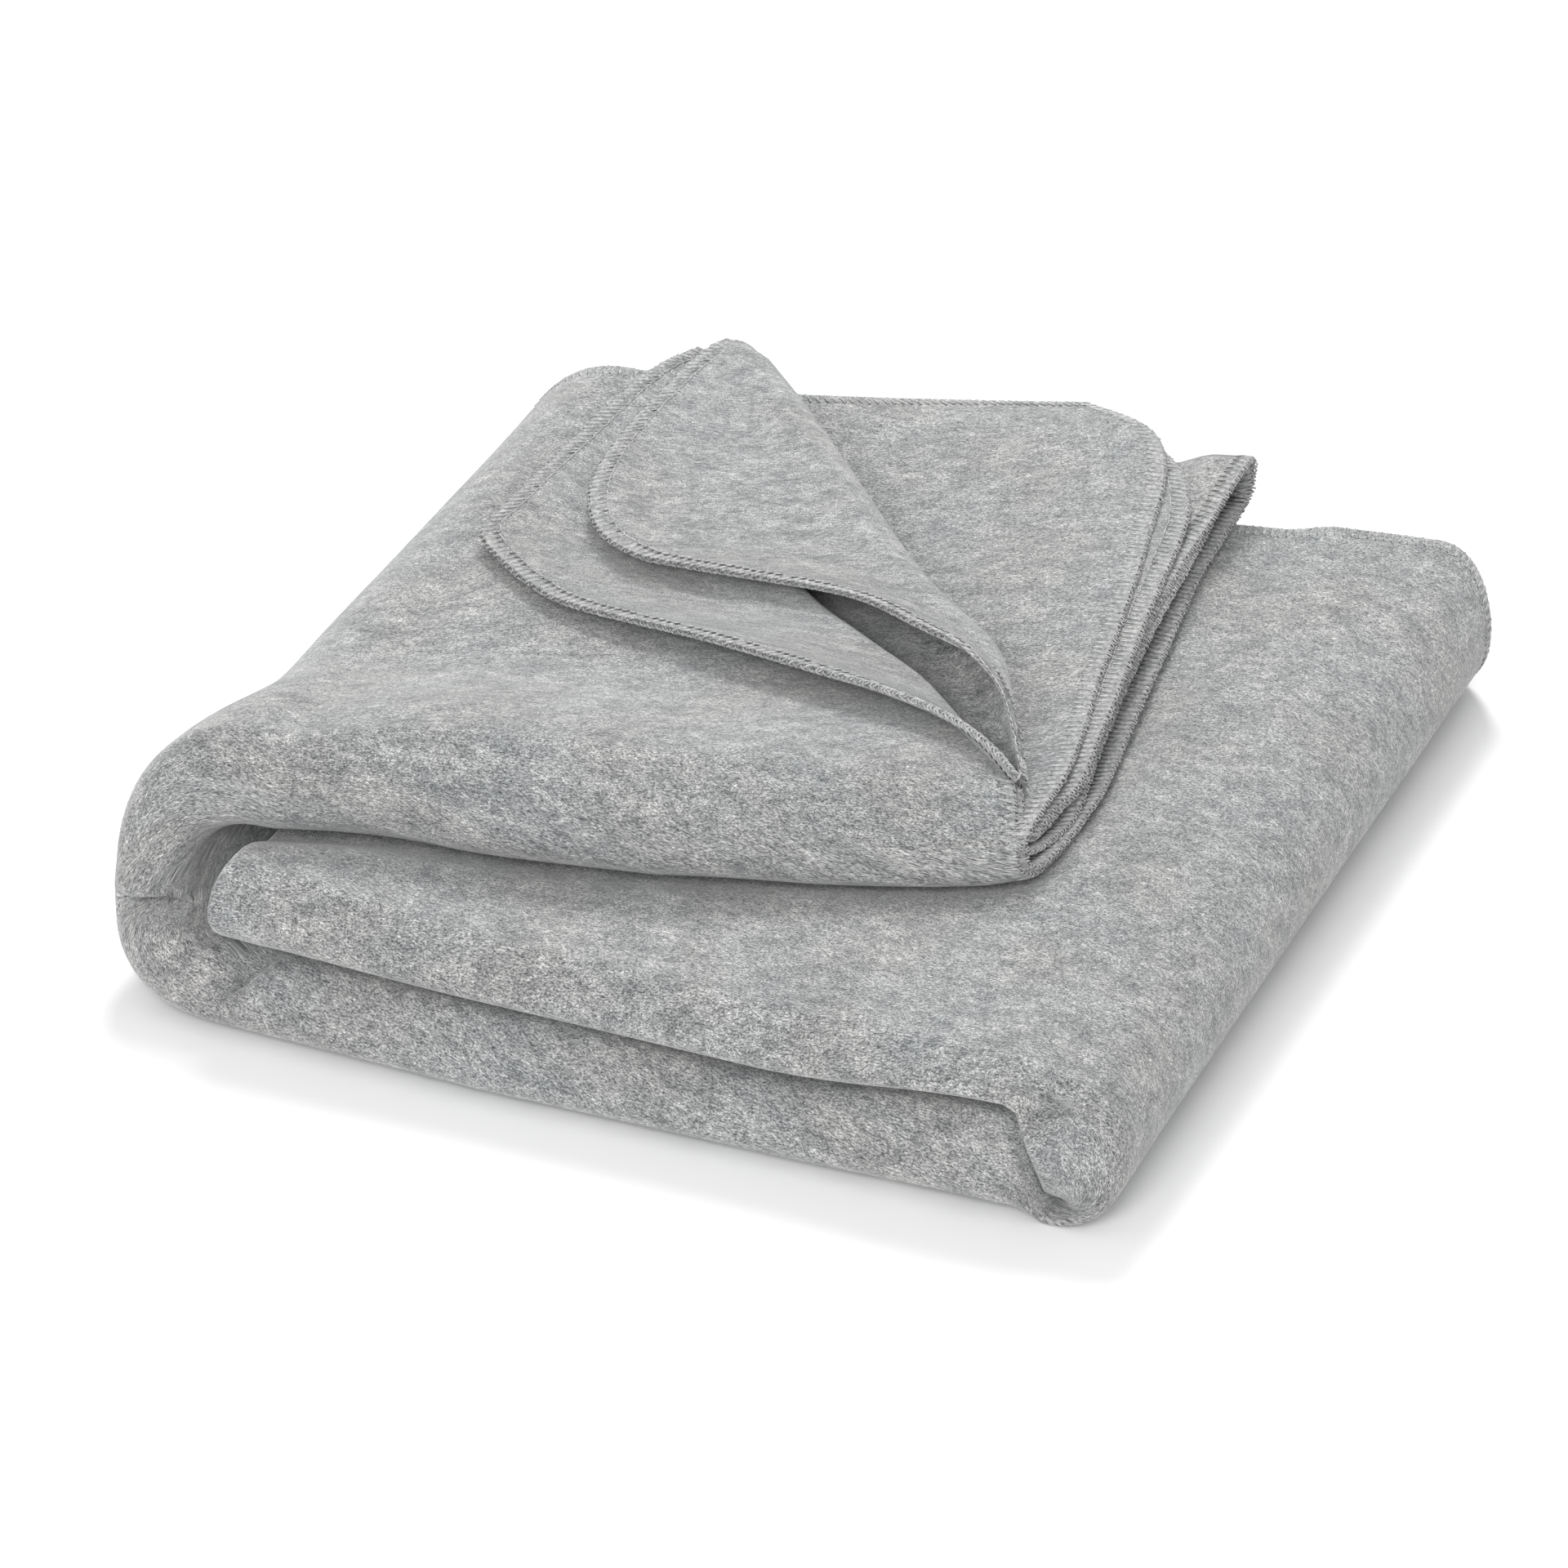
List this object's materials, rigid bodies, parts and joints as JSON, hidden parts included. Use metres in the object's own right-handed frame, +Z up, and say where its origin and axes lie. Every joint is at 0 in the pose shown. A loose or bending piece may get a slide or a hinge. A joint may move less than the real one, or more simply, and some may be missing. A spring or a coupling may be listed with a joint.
{
  "type": "folded throw blanket",
  "caption": "Heather grey brushed fleece throw with overlocked edges and rounded corners, folded into a flat stack with its top corner turned back.",
  "frame": {"origin": "middle of the folded blanket's footprint, on the surface it lies on", "axes": "+Z up; +X towards the end fold that joins the lower and middle thirds; +Y to the back, where the overlocked edges are"},
  "size_m": [0.354, 0.3902, 0.0887],
  "materials": {
    "fleece": "matt brushed heather grey fleece",
    "overlock_thread": "matt grey sewing thread"
  },
  "bodies": {
    "lower_stack": {"lower_leaf_1": "fleece", "lower_leaf_4": "fleece", "lower_leaf_3": "fleece", "lower_leaf_2": "fleece", "lower_front_fold_outer": "fleece", "lower_front_fold_inner": "fleece", "lower_back_fold": "fleece", "middle_leaf_1": "fleece", "middle_leaf_4": "fleece", "middle_leaf_3": "fleece", "middle_leaf_2": "fleece", "middle_front_fold_outer": "fleece", "middle_front_fold_inner": "fleece", "middle_back_fold": "fleece", "right_fold_leaf_1": "fleece", "right_fold_leaf_4": "fleece", "right_fold_leaf_3": "fleece", "right_fold_leaf_2": "fleece", "lower_overlock_1": "overlock_thread", "lower_overlock_4": "overlock_thread", "middle_overlock_1": "overlock_thread", "middle_overlock_4": "overlock_thread", "right_fold_overlock_1": "overlock_thread", "right_fold_overlock_4": "overlock_thread"},
    "left_fold": {"left_fold_leaf_1": "fleece", "left_fold_leaf_4": "fleece", "left_fold_leaf_3": "fleece", "left_fold_leaf_2": "fleece", "left_fold_overlock_1": "overlock_thread", "left_fold_overlock_4": "overlock_thread"},
    "upper_third": {"upper_leaf_1": "fleece", "upper_leaf_4": "fleece", "upper_leaf_3": "fleece", "upper_leaf_2": "fleece", "upper_front_fold_outer": "fleece", "upper_front_fold_inner": "fleece", "upper_back_fold": "fleece", "upper_overlock_4": "overlock_thread", "upper_overlock_3": "overlock_thread", "upper_overlock_2": "overlock_thread", "upper_overlock_1": "overlock_thread"},
    "outer_flap": {"corner_flap_outer_layer": "fleece", "corner_flap_outer_overlock": "overlock_thread"},
    "inner_flap": {"corner_flap_inner_layer": "fleece", "corner_flap_inner_overlock": "overlock_thread"}
  },
  "joints": [
    {"name": "left_fold_open", "type": "hinge", "parent": "lower_stack", "child": "left_fold", "pos_m": [-0.15, 0, 0.031], "axis": [0, -1, 0], "range_deg": [0, 90], "deforming": ["left_fold_leaf_1", "left_fold_leaf_4", "left_fold_leaf_3", "left_fold_leaf_2", "left_fold_overlock_1", "left_fold_overlock_4"]},
    {"name": "upper_third_open", "type": "hinge", "parent": "left_fold", "child": "upper_third", "pos_m": [-0.15, 0, 0.075], "axis": [0, -1, 0], "range_deg": [0, 90]},
    {"name": "outer_flap_open", "type": "hinge", "parent": "upper_third", "child": "outer_flap", "pos_m": [-0.016, 0.0455, 0.0827], "axis": [-0.6946, 0.7194, 0], "range_deg": [0, 170]},
    {"name": "inner_flap_open", "type": "hinge", "parent": "upper_third", "child": "inner_flap", "pos_m": [-0.0055, 0.0475, 0.082], "axis": [-0.6775, 0.7355, 0], "range_deg": [0, 170]}
  ],
  "couplings": [
    {"joint": "upper_third_open", "follows": "left_fold_open", "ratio": 1},
    {"joint": "inner_flap_open", "follows": "outer_flap_open", "ratio": 1}
  ]
}
